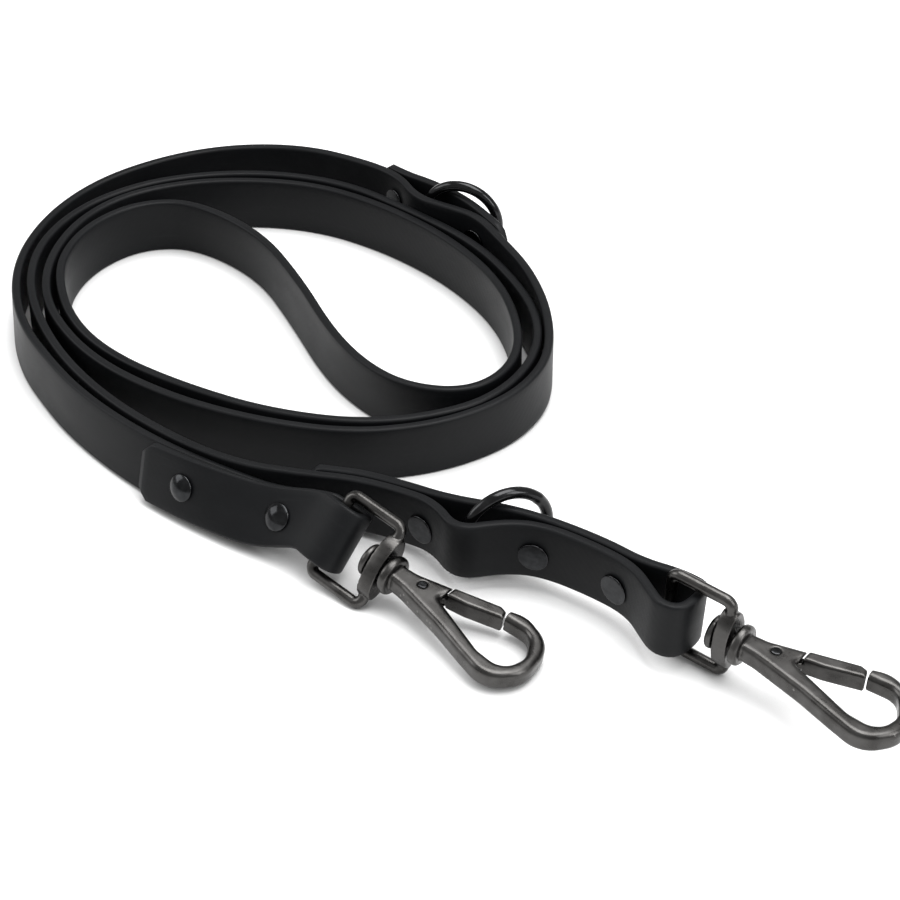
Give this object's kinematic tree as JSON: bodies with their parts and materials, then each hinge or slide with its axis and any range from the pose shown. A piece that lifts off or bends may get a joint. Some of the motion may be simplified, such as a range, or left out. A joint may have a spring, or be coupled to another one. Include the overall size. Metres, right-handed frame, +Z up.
{
  "type": "training leash",
  "caption": "Flat coated strap leash, coiled on edge, with a swivel snap hook riveted into each end and loose O-rings along it.",
  "frame": {"origin": "bottom centre of the whole coiled leash's box, on the surface it lies on", "axes": "+Z up, across the strap's width in the coil; +X from the coil towards the two hooks; +Y from end A's hook towards the ring patch"},
  "size_m": [0.3664, 0.1804, 0.0315],
  "materials": {
    "coated_strap": "semi-matt coated webbing",
    "gunmetal": "satin gunmetal",
    "black_nickel": "dark polished",
    "ring_black": "glossy black",
    "spring_steel": "bright"
  },
  "bodies": {
    "leash": {"strap": "coated_strap", "ring_patch": "coated_strap", "end_a_rivet_bases": "black_nickel", "end_a_rivet_caps": "black_nickel", "end_b_rivet_bases": "black_nickel", "end_b_rivet_caps": "black_nickel", "patch_rivet_bases": "black_nickel", "patch_rivet_caps": "black_nickel"},
    "eye_a": {"eye_a": "gunmetal"},
    "hook_a": {"swivel_stud_a": "gunmetal", "hook_body_a": "gunmetal", "gate_pin_a": "black_nickel", "gate_spring_a": "spring_steel"},
    "gate_a": {"gate_a": "gunmetal"},
    "eye_b": {"eye_b": "gunmetal"},
    "hook_b": {"swivel_stud_b": "gunmetal", "hook_body_b": "gunmetal", "gate_pin_b": "black_nickel", "gate_spring_b": "spring_steel"},
    "gate_b": {"gate_b": "gunmetal"},
    "end_ring": {"end_ring": "ring_black"},
    "mid_ring": {"mid_ring": "ring_black"}
  },
  "joints": [
    {"name": "eye_a_swing", "type": "hinge", "parent": "leash", "child": "eye_a", "pos_m": [0.00564, -0.07485, 0.01463], "axis": [0.1352, 0.6301, 0.7646], "range_deg": [-100, 0]},
    {"name": "hook_a_swivel", "type": "hinge", "parent": "eye_a", "child": "hook_a", "pos_m": [0.02543, -0.07572, 0.01185], "axis": [0.9893, -0.0436, -0.139], "continuous": true},
    {"name": "gate_a_press", "type": "hinge", "parent": "hook_a", "child": "gate_a", "pos_m": [0.04032, -0.07518, 0.00974], "axis": [0.1399, 0.0193, 0.99], "range_deg": [-20, 0], "stiffness_Nm_per_rad": 0.05, "springref_deg": 20.05},
    {"name": "eye_b_swing", "type": "hinge", "parent": "leash", "child": "eye_b", "pos_m": [0.10506, -0.04187, 0.01635], "axis": [0.0523, 0.0009, 0.9986], "range_deg": [-75, 75]},
    {"name": "hook_b_swivel", "type": "hinge", "parent": "eye_b", "child": "hook_b", "pos_m": [0.12503, -0.04152, 0.0153], "axis": [0.9985, 0.0174, -0.0523], "continuous": true},
    {"name": "gate_b_press", "type": "hinge", "parent": "hook_b", "child": "gate_b", "pos_m": [0.13998, -0.04006, 0.01452], "axis": [0.0523, 0.0009, 0.9986], "range_deg": [-20, 0], "stiffness_Nm_per_rad": 0.05, "springref_deg": 20.05},
    {"name": "end_ring_turn", "type": "hinge", "parent": "leash", "child": "end_ring", "pos_m": [0.04663, -0.04232, 0.0154], "axis": [0.866, -0.5, 0], "continuous": true},
    {"name": "mid_ring_turn", "type": "hinge", "parent": "leash", "child": "mid_ring", "pos_m": [-0.06797, 0.08368, 0.0154], "axis": [0.342, -0.9397, 0], "continuous": true}
  ]
}
